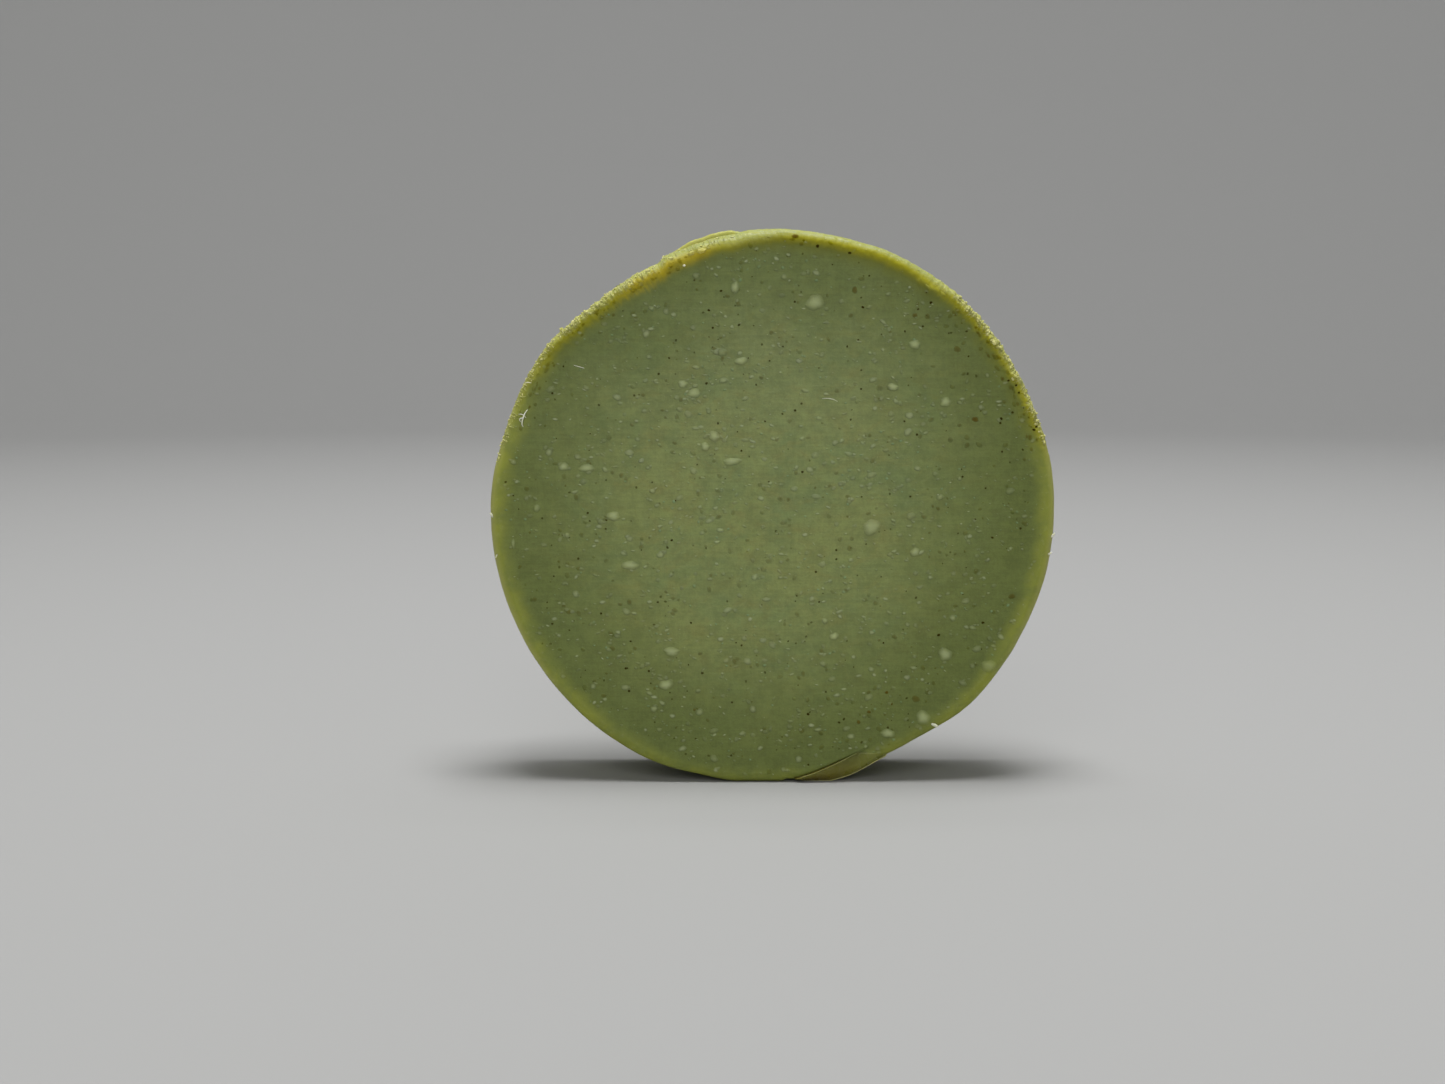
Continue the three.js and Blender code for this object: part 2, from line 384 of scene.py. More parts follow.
def back_rings(angle, edge):
    across, up = direction(angle)
    ragged = edge - rim_outline(angle)
    rings = []
    for i in range(1, 6):
        turn = math.pi / 2 * i / 5
        rings.append((BACK_ROLL * (1 - math.cos(turn)), BACK_Y - BACK_ROLL * (1 - math.sin(turn))))
    for i in range(1, 5):
        rings.append((BACK_ROLL + (EDGE_ZONE - BACK_ROLL) * i / 4, BACK_Y))
    for i in range(1, BACK_RINGS):
        rings.append((EDGE_ZONE + (edge - EDGE_ZONE) * i / BACK_RINGS, BACK_Y))
    placed = []
    for inset, y in rings:
        inset = inset + ragged * smooth((RADIUS - inset) / RADIUS)
        x, z = (edge - inset) * across, (edge - inset) * up
        placed.append((inset, y - face_wave(x, z + 200) * smooth((inset - BACK_ROLL) / 2)))
    return placed


def make_cake(material):
    """The whole cake as one closed skin: front face, edge, rim and back face."""
    angle = rim_angles()
    edge = outline(angle)
    rings = front_rings(angle, edge) + wall_rings(angle, edge) + back_rings(angle, edge)
    loops = []
    for inset, y in rings:
        loop = at_polar(angle, edge - inset, y)
        loop[:, 2] = np.maximum(loop[:, 2], -CENTRE_HEIGHT)
        loops.append(loop)
    ends = [(0, FRONT_Y, 0), (0, BACK_Y, 0)]
    cake = make_object("soap_cake", skinned(loops, ends), material)
    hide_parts("soap_core", "rim_rind")


def skinned(loops, ends):
    """A closed skin over rings of points, with a fan to one end point at each end."""
    count = len(loops[0])
    points = np.concatenate([*loops, ends])
    column = np.arange(count)
    beside = np.roll(column, -1)
    faces = []
    for ring in range(len(loops) - 1):
        a, b = ring * count, (ring + 1) * count
        faces += np.stack([a + column, a + beside, b + beside, b + column], axis=1).tolist()
    last = (len(loops) - 1) * count
    first_end, last_end = len(points) - 2, len(points) - 1
    faces += [[first_end, int(j), int(i)] for i, j in zip(column, beside)]
    faces += [[last_end, int(last + i), int(last + j)] for i, j in zip(column, beside)]
    return points, faces, np.zeros(len(points))


def joined(shapes):
    """Several shapes as one."""
    points, faces, pale = [], [], []
    start = 0
    for some_points, some_faces, some_pale in shapes:
        points.append(some_points)
        pale.append(some_pale)
        faces += [[start + corner for corner in face] for face in some_faces]
        start += len(some_points)
    return np.concatenate(points), faces, np.concatenate(pale)


# ---- Dots in the soap ----
# How uneven a dot's outline is: number of lobes and their height as a share of its size.
DOT_LOBES = (
    (2, 0.1),
    (3, 0.055),
    (5, 0.05),
)


def dot(random, x, z, half_long, half_wide, turn, proud, strength, rings=3, segments=9, fade=0.85):
    """A low dome with an uneven outline; its Y is still counted from the face.

    fade is the share of its reach over which its colour fades out."""
    sunk = 0.01 + 0.25 * proud
    around = np.arange(segments) * 2 * math.pi / segments
    uneven = np.ones(segments)
    for lobes, amount in DOT_LOBES:
        uneven += amount * np.sin(lobes * around + random.uniform(0, 6))
    tilt = math.radians(turn)
    loops, pale = [], []
    for ring in range(1, rings + 1):
        share = ring / rings
        along = half_long * share * uneven * np.cos(around)
        aside = half_wide * share * uneven * np.sin(around)
        across = x + along * math.cos(tilt) - aside * math.sin(tilt)
        up = z + along * math.sin(tilt) + aside * math.cos(tilt)
        height = proud * (1 - share ** 2) - sunk * share ** 4
        loops.append(np.stack([across, np.full(segments, -height), up], axis=1))
        pale += [strength * float(smooth((1 - share) / fade))] * segments
    ends = [(x, -proud, z), (x, 2 * sunk, z)]
    points, faces, _ = skinned(loops, ends)
    return points, faces, np.array(pale + [strength, 0.0])


def on_face(shape, back=False):
    """The shape moved from its own zero onto the front or the back face."""
    points, faces, pale = shape
    x, y, z = points.T
    if back:
        placed = np.stack([x, BACK_Y - y, z], axis=1)
        return placed, [face[::-1] for face in faces], pale
    return np.stack([x, y + surface_y(x, z), z], axis=1), faces, pale


def on_rim(shape):
    """The shape wrapped round the outside of the rim; its X runs round and its Z runs back."""
    points, faces, pale = shape
    along, low, y = points.T
    angle = np.degrees(along / RADIUS)
    radius = rim_outline(angle) - 0.04 + wall_wave(angle, y) - low
    return at_polar(angle, radius, y), faces, pale


def scattered(random, count, limit, clump=0.6):
    """Random places on a disc, gathered in loose clumps."""
    places = []
    while len(places) < count:
        x, z = random.uniform(-limit, limit, 2)
        if x * x + z * z > limit * limit:
            continue
        density = 0.55 + clump * noise.noise(Vector((x / 7, 3.3, z / 5)))
        if random.uniform() < density:
            places.append((x, z))
    return places


PLAIN_FLAT = 0.8  # width over length of a plain dot


def flecks(random, count, limit, halves, flats, strengths, spread, proud, rings=3, segments=9, clump=0.6):
    """Dots scattered over a face.

    halves, flats and strengths are ranges of half length, width over length and strength. spread
    is how far they turn from level, in degrees. With no flats they are all PLAIN_FLAT, and with
    no spread they lie in any direction."""
    shapes = []
    for x, z in scattered(random, count, limit, clump):
        half = random.uniform(*halves)
        flat = random.uniform(*flats) if flats else PLAIN_FLAT
        strength = random.uniform(*strengths)
        turn = random.normal(0, spread) if spread else random.uniform(0, 180)
        shapes.append(dot(random, x, z, half, half * flat, turn, proud, strength, rings, segments))
    return shapes


# The larger granules that have no CAD node: x, z, width, height, strength.
MIDDLE_GRANULES = (
    (-16.1, -27.1, 0.95, 0.9, 0.5),
    (-7.7, -35.6, 0.7, 0.6, 0.6),
    (-31.9, 0.4, 0.8, 1.1, 0.4),
    (-2.4, -9.0, 0.95, 0.8, 0.45),
    (-7.1, -2.6, 0.95, 0.55, 0.55),
    (-7.5, -4.2, 0.8, 0.4, 0.55),
    (-16.2, 2.7, 0.8, 0.7, 0.4),
    (-27.8, -3.3, 0.8, 0.7, 0.4),
    (-35.1, -4.4, 0.55, 1.2, 0.45),
    (7.1, -15.0, 0.8, 0.7, 0.5),
    (24.5, -14.6, 0.95, 0.8, 0.4),
    (22.6, 1.9, 0.95, 0.8, 0.4),
    (18.7, -0.7, 1.2, 1.0, 0.25),
    (-6.9, 21.4, 1.35, 1.1, 0.25),
)


def make_granules(material):
    """The pale granules in the face: one piece for each CAD granule, and the rest together."""
    random = np.random.default_rng(11)
    for name in sorted(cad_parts):
        if not name.startswith("granule_"):
            continue
        low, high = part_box(name)
        x, z = (low.x + high.x) / 2 / MM, (low.z + high.z) / 2 / MM - CENTRE_HEIGHT
        half_long, half_wide = (high.x - low.x) / 2 / MM, (high.z - low.z) / 2 / MM
        buried = float(smooth((math.hypot(x, z) - 35.2) / 1.0))
        strength = 0.75 - 0.4 * buried
        shape = dot(random, x, z, half_long * 1.4, half_wide * 1.4, 0, 0.13, strength, 7, 28, 0.9)
        piece = make_object("pale_" + name, on_face(shape), material)
        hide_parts(name)
    shapes = []
    for x, z, width, height, strength in MIDDLE_GRANULES:
        shapes.append(dot(random, x, z, width * 0.6, height * 0.6, 0, 0.08, strength, 5, 18))
    shapes += flecks(random, 200, 35.8, (0.25, 0.75), (0.45, 0.9), (0.2, 0.6), 18, 0.05, 4, 12)
    for x, z in scattered(random, 400, 36.3):
        half = random.uniform(0.1, 0.24) * random.uniform(1, 2.0) ** 1.4
        flat = random.uniform(0.35, 0.8)
        strength = random.uniform(0.2, 0.85)
        shapes.append(dot(random, x, z, half, half * flat, random.normal(0, 18), 0.035, strength))
    shapes += flecks(random, 950, 36.6, (0.12, 0.5), (0.4, 0.9), (0.1, 0.32), 25, 0.03)
    make_object("small_granules", on_face(joined(shapes)), material)
    shapes = flecks(random, 420, 36.0, (0.1, 0.45), None, (0.15, 0.7), 25, 0.05)
    shape = on_face(joined(shapes), back=True)
    make_object("back_granules", shape, material)
    shapes = []
    for _ in range(260):
        along = random.uniform(0, 2 * math.pi * RADIUS)
        y = random.uniform(FRONT_Y + 2, BACK_Y - 1.2)
        half = random.uniform(0.12, 0.42)
        strength = random.uniform(0.15, 0.6)
        shapes.append(dot(random, along, y, half, half * PLAIN_FLAT, 0, 0.04, strength))
    make_object("rim_granules", on_rim(joined(shapes)), material)


# Specks that are easy to see: x, z, diameter.
DARK_SPECKS = (
    (4.9, -27.8, 0.34),
    (22.6, -16.9, 0.36),
    (28.6, -15.2, 0.34),
    (12.0, 27.4, 0.32),
    (11.4, 23.0, 0.3),
    (-8.6, 27.0, 0.3),
    (30.7, 12.5, 0.34),
    (30.6, 11.9, 0.28),
    (21.1, 28.0, 0.34),
    (10.2, 34.6, 0.36),
    (5.9, 35.5, 0.4),
    (32.6, 17.0, 0.25),
    (31.6, 17.6, 0.27),
    (35.1, 11.0, 0.32),
    (35.4, 11.4, 0.26),
    (33.0, 16.0, 0.26),
)
# Soft brown spots: x, z, width, height, strength.
BROWN_SPOTS = (
    (15.6, -24.8, 0.5, 0.5, 0.9),
    (16.3, -26.4, 0.35, 0.35, 0.8),
    (13.2, -27.5, 0.6, 0.5, 0.8),
    (11.8, -28.9, 0.6, 0.55, 0.7),
    (-10.6, -27.2, 0.4, 0.4, 0.6),
    (19.6, -25.7, 1.2, 0.9, 0.5),
    (27.2, 12.4, 0.9, 0.8, 0.8),
    (32.5, -11.6, 0.9, 0.8, 0.5),
    (10.9, 29.7, 0.8, 0.9, 0.6),
    (24.7, 21.8, 1.0, 0.9, 0.5),
    (2.9, 36.8, 0.9, 0.7, 0.9),
    (19.0, 26.3, 0.8, 0.6, 0.6),
)


BAND_SPOT_ANGLES = (78, 84, 86, 91)  # brown spots in the torn band, besides the scattered ones


def make_specks(dark, brown):
    """Dark specks of herb or clay, and softer brown spots."""
    random = np.random.default_rng(23)
    shapes = []
    for x, z, diameter in DARK_SPECKS:
        shapes.append(dot(random, x, z, diameter * 0.8, diameter * 0.7, 0, 0.03, 1.0, fade=0.45))
    for x, z in scattered(random, 250, 36.5, 0.3):
        half = random.uniform(0.1, 0.22)
        strength = random.uniform(0.4, 1.0)
        turn = random.uniform(0, 180)
        shapes.append(dot(random, x, z, half * 1.2, half, turn, 0.03, strength, fade=0.5))
    make_object("dark_specks", on_face(joined(shapes)), dark)
    shapes = []
    for x, z, width, height, strength in BROWN_SPOTS:
        shapes.append(dot(random, x, z, width * 0.6, height * 0.6, 0, 0.03, strength, 4, 14, 0.6))
    shapes += flecks(random, 380, 35.8, (0.12, 0.55), None, (0.08, 0.4), None, 0.03, clump=0.3)
    band_angles = [random.uniform(12, 48, 40), random.uniform(108, 162, 40), BAND_SPOT_ANGLES]
    for angle in np.concatenate(band_angles):
        radius = float(outline(angle)) - random.uniform(1.1, 2.4)
        x, _, z = at_polar(angle, radius, 0)
        half = random.uniform(0.1, 0.5)
        strength = random.uniform(0.15, 0.6)
        shapes.append(dot(random, x, z, half, half * 0.7, angle + 90, 0.04, strength))
    make_object("brown_spots", on_face(joined(shapes)), brown)


def make_teal_flecks(material):
    """Tiny cool green flecks in the face."""
    random = np.random.default_rng(29)
    shapes = flecks(random, 300, 36.0, (0.12, 0.34), (0.5, 1.0), (0.25, 0.85), 20, 0.03, clump=1.3)
    make_object("teal_flecks", on_face(joined(shapes)), material)


# ---- Crumbs, fibres and shavings ----
def ball():
    """The corners and faces of a small round ball."""
    shape = bmesh.new()
    bmesh.ops.create_icosphere(shape, subdivisions=1, radius=1)
    corners = np.array([corner.co for corner in shape.verts])
    faces = [[corner.index for corner in face.verts] for face in shape.faces]
    shape.free()
    return corners, faces


BALL = ball()


def grain(random, centre, size, strength):
    """An irregular crumb; size is its half length along its own axes."""
    corners, faces = BALL
    uneven = corners * random.uniform(0.72, 1.15, (len(corners), 1)) * size
    turn = Matrix.Rotation(random.uniform(0, 6.3), 3, Vector(random.normal(0, 1, 3)))
    points = uneven @ np.array(turn) + centre
    return points, faces, np.full(len(points), strength)


def strand(path, radii, strength, sides=6, flat=1.0):
    """A closed tapering thread along a path of points."""
    path = np.asarray(path, float)
    loops = []
    along = np.gradient(path, axis=0)
    for point, step, radius in zip(path, along, radii):
        step = step / np.linalg.norm(step)
        first = np.cross(step, (0, 1, 0))
        first = first / max(np.linalg.norm(first), 1e-6)
        second = np.cross(first, step)
        turn = np.arange(sides)[:, None] * 2 * math.pi / sides
        loops.append(point + radius * (np.cos(turn) * first + flat * np.sin(turn) * second))
    points, faces, _ = skinned(loops, [path[0], path[-1]])
    return points, faces, np.full(len(points), strength)


def edge_point(angle, inset, lift):
    """A point in front of the edge of the face."""
    angle, inset = np.asarray(angle, float), np.asarray(inset, float)
    radius = outline(angle) - inset
    return at_polar(angle, radius, front_y(angle, np.maximum(inset, 0), radius) - lift)


# Where crumbs gather on the torn crest: from, to, how many, largest half size.
CRUMB_STRETCHES = (
    (14, 50, 220, 0.24),
    (50, 93, 24, 0.1),
    (101, 118, 36, 0.2),
    (118, 170, 290, 0.21),
)
# Larger broken bits on the crest: angle, inset, half length round the rim, half width, strength.
CREST_CHIPS = (
    (18.5, 0.5, 0.3, 0.2, 0.6),
    (22.0, 0.35, 0.35, 0.2, 0.7),
    (29.1, 1.0, 0.34, 0.22, 0.9),
    (33.5, 0.4, 0.4, 0.2, 0.7),
    (37.5, 0.75, 0.5, 0.32, 1.0),
    (40.3, 0.4, 0.25, 0.2, 0.9),
    (43.2, 0.55, 0.5, 0.2, 0.7),
    (47.5, 0.4, 0.35, 0.22, 0.6),
    (52.2, 1.3, 0.5, 0.22, 0.05),
    (55.6, 1.7, 0.5, 0.18, 0.05),
    (98.5, 0.45, 0.3, 0.14, 0.4),
    (105.4, 1.15, 0.75, 0.45, 0.25),
    (107.6, 1.0, 0.6, 0.36, 0.3),
    (112.0, 0.7, 0.5, 0.35, 0.35),
    (117.5, 0.4, 0.4, 0.28, 0.8),
    (122.0, 0.4, 0.35, 0.22, 0.8),
    (127.5, 0.3, 0.45, 0.2, 0.7),
    (133.0, 0.35, 0.4, 0.22, 0.9),
    (136.5, 0.2, 0.35, 0.25, 0.9),
    (139.3, 0.05, 0.42, 0.36, 0.35),
    (142.0, 0.3, 0.3, 0.18, 0.7),
    (149.5, 0.35, 0.3, 0.14, 0.9),
)


def make_crest_crumbs(material):
    """Bright crumbs along the crest of the torn rind."""
    random = np.random.default_rng(37)
    shapes = []
    for angle, inset, half_long, half_wide, strength in CREST_CHIPS:
        centre = edge_point(angle, inset, 0.02)
        corners, faces, pale = grain(random, (0, 0, 0), (1, 1, 1), strength)
        turn = Matrix.Rotation(-math.radians(angle + 90), 3, "Y")
        shaped = (corners * (half_long, 0.6 * half_wide, half_wide)) @ np.array(turn).T
        shapes.append((shaped + centre, faces, pale))
    for start, end, count, largest in CRUMB_STRETCHES:
        angle = random.uniform(start, end, count)
        inset = random.uniform(-0.05, 1.0, count) * random.uniform(0.1, 1.0, count)
        centres = edge_point(angle, inset, 0.03)
        for centre in centres:
            size = random.uniform(0.25, 1.0) ** 1.5 * largest * random.uniform(0.6, 1.2, 3)
            shapes.append(grain(random, centre, size, random.uniform(0.2, 1.0)))
    make_object("torn_crest_crumbs", joined(shapes), material, False)


# Where combed fibres cross the torn rind: from, to, how many, longest length.
FIBRE_STRETCHES = (
    (17, 50, 80, 1.2),
    (100, 165, 90, 1.1),
)


def make_crest_fibres(material):
    """Short combed fibres across the torn rind."""
    random = np.random.default_rng(41)
    shapes = []
    for start, end, count, longest in FIBRE_STRETCHES:
        for angle in random.uniform(start, end, count):
            length = longest * random.uniform(0.45, 1.0)
            share = np.linspace(0, 1, 6)
            bend = random.normal(0, 0.5)
            angles = angle + bend * share ** 2
            inset = random.uniform(-0.05, 0.4) + length * share
            lift = 0.04 + 0.05 * np.sin(math.pi * share) - 0.12 * share ** 3
            path = edge_point(angles, inset, lift)
            radii = random.uniform(0.03, 0.075) * (1 - 0.75 * share)
            shapes.append(strand(path, radii, random.uniform(0.0, 0.45)))
    make_object("torn_crest_fibres", joined(shapes), material)


# The torn lip's cross-section: share of its height, and share of its thickness from the front.
LIP_SECTION = (
    (0, 0),
    (0.5, -0.05),
    (0.85, 0.05),
    (1, 0.3),
    (1, 0.6),
    (0.8, 1.3),
    (0.5, 2.6),
    (0, 4),
)


def make_torn_lip(material):
    """The second thin lip that stands behind the crest at the top left."""
    low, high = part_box("top_burr_lip")
    front, back = low.y / MM, high.y / MM
    angle = np.linspace(96.0, 112.5, 90)
    share = np.linspace(0, 1, 90)
    across, up = direction(angle)
    rise = smooth(share / 0.18) * smooth((1 - share) / 0.35)
    top = outline(angle) + 0.6 * rise + 0.05 * noise_at(across * RADIUS, 4, up * RADIUS, 1.2, 1)
    foot = outline(angle) - 0.5
    wave = 0.12 * noise_at(across * RADIUS, 9, up * RADIUS, 1.5, 1)
    loops = []
    for height, depth in LIP_SECTION:
        radius = foot + (top - foot) * height
        y = front + wave + (back - front) * depth
        loops.append(at_polar(angle, radius, y))
    rings = [np.stack([loop[i] for loop in loops]) for i in range(len(angle))]
    ends = [rings[0].mean(axis=0), rings[-1].mean(axis=0)]
    points, faces, _ = skinned(rings, ends)
    pale = np.concatenate([np.tile([height * 0.2 for height, _ in LIP_SECTION], len(angle)), [0, 0]])
    piece = make_object("torn_lip", (points, faces, pale), material)
    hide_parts("top_burr_lip")


def paring_edges(x):
    """The upper edge and the rim of the lifted flap at places across the face, as Z."""
    share = (x - CREASE_LEFT) / (PARING_RIGHT - CREASE_LEFT)
    angle = np.degrees(np.arctan2(-np.sqrt(RADIUS ** 2 - x ** 2), x))
    proud = 0.1 + 0.12 * smooth((share - 0.6) / 0.4)
    rim = outline(angle) + proud * smooth(share / 0.1) * smooth((1 - share) / 0.02)
    rim_z = np.maximum(-np.sqrt(np.maximum(rim, np.abs(x)) ** 2 - x ** 2), -CENTRE_HEIGHT)
    far_z = PARING_SHOULDER_Z - 0.06 * (x - CREASE_RIGHT)
    top_z = np.minimum(crease_line(x) - 0.08, far_z)
    return np.maximum(top_z, rim_z + 0.05), rim_z


def paring_y(x, z, share, t):
    """The flap's front: free of the cake on the left, and running into its skin on the right."""
    lift = 0.24 * smooth(share / 0.06) * (1 - smooth((share - 0.4) / 0.35))
    bulge = 0.3 * t + 0.7 * t ** 2
    wrinkle = 0.035 * noise_at(x * 1.2, 0, x * 0.3 + t, 0.8, 2) * math.sin(math.pi * t)
    free = FRONT_Y - lift + (PARING_BULGE + lift) * bulge + wrinkle
    angle, inset, radius = polar(x, z)
    skin = front_y(angle, np.maximum(inset, 0), radius) - 0.035
    joined_share = smooth((share - 0.45) / 0.35)
    return free + (skin - free) * joined_share


def make_paring(material, highlight_material):
    """The flap of rind at the lower right that has lifted from the cake along its upper edge."""
    share = np.linspace(0, 1, PARING_STEPS)
    x = CREASE_LEFT - 0.1 + (PARING_RIGHT - CREASE_LEFT + 0.1) * share
    top_z, rim_z = paring_edges(x)
    lines, browns = [], []
    fade = 0.95 - 0.65 * smooth((share - 0.25) / 0.7)
    for t in np.linspace(0, 1, PARING_LINES):
        z = top_z + (rim_z - top_z) * t
        lines.append(np.stack([x, paring_y(x, z, share, t), z], axis=1))
        browns.append(fade * (0.55 + 0.45 * t))
    highlight_lines = [lines[0][8:-50], lines[-1][10:-1]]  # the upper edge only where it is free
    front_rim = lines[-1]
    inward = -front_rim * (1, 0, 1) / RADIUS
    for depth, inset in ((0.8, 0.02), (1.1, 0.3), (0.4, 0.35)):
        lines.append(front_rim + inward * inset + (0, depth, 0))
        browns.append(fade)
    lines.append(lines[0] + inward * 0.1 + (0, 0.5, 0))
    browns.append(fade)
    loops = [np.stack([line[i] for line in lines]) for i in range(PARING_STEPS)]
    points, faces, _ = skinned(loops, [loops[0].mean(axis=0), loops[-1].mean(axis=0)])
    pale = np.concatenate([np.stack(browns, axis=1).ravel(), [0, 0]])
    piece = make_object("rind_paring", (points, faces, pale), material)
    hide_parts("lifted_paring")
    shapes = []
    # painted highlights: pale strands along the flap's free upper edge and along its rim
    for path, strength, thick in zip(highlight_lines, (0.12, 0.75), (0.04, 0.07)):
        radii = thick + 0.025 * noise_at(path[:, 0], 0, 0, 0.4, 1)
        shapes.append(strand(path - (0, thick / 2, 0), radii, strength))
    make_object("paring_edge_highlights", joined(shapes), highlight_material)


# Thin white curls and threads: half width, then points as x, z and lift from the face.
CURLS = (
    (0.1, ((-33.0, 13.7, 0.02), (-33.5, 13.2, 0.2), (-33.45, 12.75, 0.3), (-33.75, 12.2, 0.32),
            (-33.85, 11.7, 0.12), (-33.6, 11.35, 0.0))),
    (0.06, ((-34.2, 13.05, 0.05), (-33.9, 13.2, 0.15), (-33.5, 13.05, 0.25), (-33.2, 12.6, 0.1))),
    (0.065, ((-33.5, 12.6, 0.2), (-34.1, 12.7, 0.35), (-34.2, 12.3, 0.3), (-33.9, 12.05, 0.15))),
)
HAIRS = (
    (0.045, ((-26.75, 19.66, 0.0), (-26.0, 19.45, 0.05), (-25.3, 19.25, 0.0))),
    (0.05, ((-33.3, 17.35, 0.1), (-32.9, 17.42, 0.25), (-32.4, 17.3, 0.05))),
    (0.035, ((6.6, 15.2, 0.0), (7.4, 15.3, 0.03), (8.2, 15.15, 0.03), (8.7, 14.8, 0.0))),
)
THREAD_STEPS = 12


def curved(corners):
    """Evenly spaced points on a smooth line through the corners."""
    corners = np.asarray(corners, float)
    at = np.linspace(0, len(corners) - 1, THREAD_STEPS)
    for _ in range(2):
        middle = (corners[:-2] + 4 * corners[1:-1] + corners[2:]) / 6
        corners = np.vstack([corners[:1], middle, corners[-1:]])
    index = np.arange(len(corners))
    return np.stack([np.interp(at, index, corners[:, k]) for k in range(3)], axis=1)


def threads(lines, strength, flat):
    shapes = []
    for half_width, corners in lines:
        path = curved(corners)
        x, z, lift = path.T
        placed = np.stack([x, surface_y(x, z) - lift, z], axis=1)
        radii = half_width * (0.45 + 0.55 * np.sin(np.linspace(0.1, math.pi - 0.1, len(path))))
        shapes.append(strand(placed, radii, strength, 7, flat))
    return joined(shapes)


# Flakes on the edge: CAD node, half length, half width, half thickness, turn in degrees and
# how far inward of the node's middle the flake is pressed on.
FLAKES = (
    ("edge_flake_left_upper", 0.42, 0.16, 0.1, -55, 0),
    ("edge_flake_left_lower", 0.36, 0.08, 0.08, 65, 0),
    ("edge_flake_right_upper", 0.42, 0.15, 0.1, 48, 0),
    ("edge_flake_right_lower", 0.36, 0.12, 0.1, 35, 0),
    ("white_flake_lower_right", 0.54, 0.23, 0.16, -27, 0.2),
    ("crumb_upper_left", 0.19, 0.16, 0.15, 20, 0),
)


def flake(random, centre, half_sizes, turn):
    """A broken chip, longer than it is wide, with an uneven surface."""
    long, wide, thick = half_sizes
    loops = []
    for share in np.linspace(-0.92, 0.92, 7):
        reach = math.sqrt(1 - share ** 2) ** 0.7
        around = np.arange(9) * 2 * math.pi / 9
        uneven = random.uniform(0.75, 1.1, 9)
        aside = wide * reach * uneven * np.cos(around)
        out = thick * reach * uneven * np.sin(around)
        loops.append(np.stack([np.full(9, long * share), out, aside], axis=1))
    points, faces, _ = skinned(loops, [(-long, 0, 0), (long, 0, 0)])
    tilt = Matrix.Rotation(-math.radians(turn), 3, "Y")
    points = points @ np.array(tilt).T + centre
    return points, faces, np.full(len(points), 0.9)


def make_shavings(material):
    """White curls, threads and flakes that cling to the edge."""
    random = np.random.default_rng(53)
    curl = make_object("curled_thread", threads(CURLS, 1.0, 0.6), material)
    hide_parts("curl_shaving")
    make_object("pale_hairs", threads(HAIRS, 0.95, 0.8), material)
    for name, long, wide, thick, turn, inward in FLAKES:
        low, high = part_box(name)
        middle = (low + high) / 2 / MM
        x, z = middle.x, middle.z - CENTRE_HEIGHT
        kept = 1 - inward / math.hypot(x, z)
        x, z = x * kept, z * kept
        angle, inset, _ = polar(x, z)
        y = float(front_y(angle, max(float(inset), 0.25), RADIUS)) - thick * 0.7
        shape = flake(random, (x, y, z), (long, wide, thick), turn)
        piece = make_object("chip_" + name, shape, material)
        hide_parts(name)


# ---- Shader help ----
def add_node(tree, kind, inputs=None, **settings):
    node = tree.nodes.new(kind)
    for key, value in settings.items():
        setattr(node, key, value)
    for socket, value in (inputs or {}).items():
        if isinstance(value, bpy.types.NodeSocket):
            tree.links.new(value, node.inputs[socket])
        else:
            node.inputs[socket].default_value = value
    return node


def attribute(tree, name):
    return add_node(tree, "ShaderNodeAttribute", attribute_name=name).outputs["Fac"]


def maths(tree, operation, a, b):
    return add_node(tree, "ShaderNodeMath", {0: a, 1: b}, operation=operation).outputs[0]


def plus(tree, a, b):
    return maths(tree, "ADD", a, b)


def minus(tree, a, b):
    return maths(tree, "SUBTRACT", a, b)


def times(tree, a, b):
    return maths(tree, "MULTIPLY", a, b)


def ramp(tree, value, low, high, start=0.0, end=1.0):
    inputs = {"Value": value, "From Min": low, "From Max": high, "To Min": start, "To Max": end}
    node = add_node(tree, "ShaderNodeMapRange", inputs, interpolation_type="SMOOTHSTEP")
    return node.outputs[0]


def mix(tree, factor, a, b):
    inputs = {0: factor, 6: a, 7: b}
    return add_node(tree, "ShaderNodeMix", inputs, data_type="RGBA").outputs[2]


def scaled(tree, vector, factor):
    node = add_node(tree, "ShaderNodeVectorMath", {0: vector, "Scale": factor}, operation="SCALE")
    return node.outputs[0]


def reach_along(tree, place, slope):
    """How far a place lies along a direction, times the direction's length."""
    inputs = {0: place, 1: slope}
    return add_node(tree, "ShaderNodeVectorMath", inputs, operation="DOT_PRODUCT").outputs["Value"]


def noise_texture(tree, vector, scale, detail, roughness=0.5, distortion=0.0, stretch=None):
    if stretch:
        stretching = {"Vector": vector, "Scale": stretch}
        vector = add_node(tree, "ShaderNodeMapping", stretching).outputs[0]
    inputs = {
        "Vector": vector,
        "Scale": scale,
        "Detail": detail,
        "Roughness": roughness,
        "Distortion": distortion,
    }
    return add_node(tree, "ShaderNodeTexNoise", inputs).outputs[0]


def millimetres(tree):
    """Object coordinates in millimetres, from the cake's middle."""
    place = add_node(tree, "ShaderNodeTexCoord").outputs["Object"]
    inputs = {"Vector": place, "Location": (0, 0, -CENTRE_HEIGHT), "Scale": (1 / MM,) * 3}
    return add_node(tree, "ShaderNodeMapping", inputs).outputs[0]


def rim_coordinates(tree, place, depth):
    """Coordinates that run round the rim and across it, so that streaks can cross the rind."""
    flat = add_node(tree, "ShaderNodeVectorMath", {0: place, 1: (1, 0, 1)}, operation="MULTIPLY")
    unit = add_node(tree, "ShaderNodeVectorMath", {0: flat.outputs[0]}, operation="NORMALIZE")
    across = add_node(tree, "ShaderNodeCombineXYZ", {"Y": times(tree, depth, 0.3)})
    both = {0: scaled(tree, unit.outputs[0], RADIUS), 1: across.outputs[0]}
    return add_node(tree, "ShaderNodeVectorMath", both, operation="ADD").outputs[0]


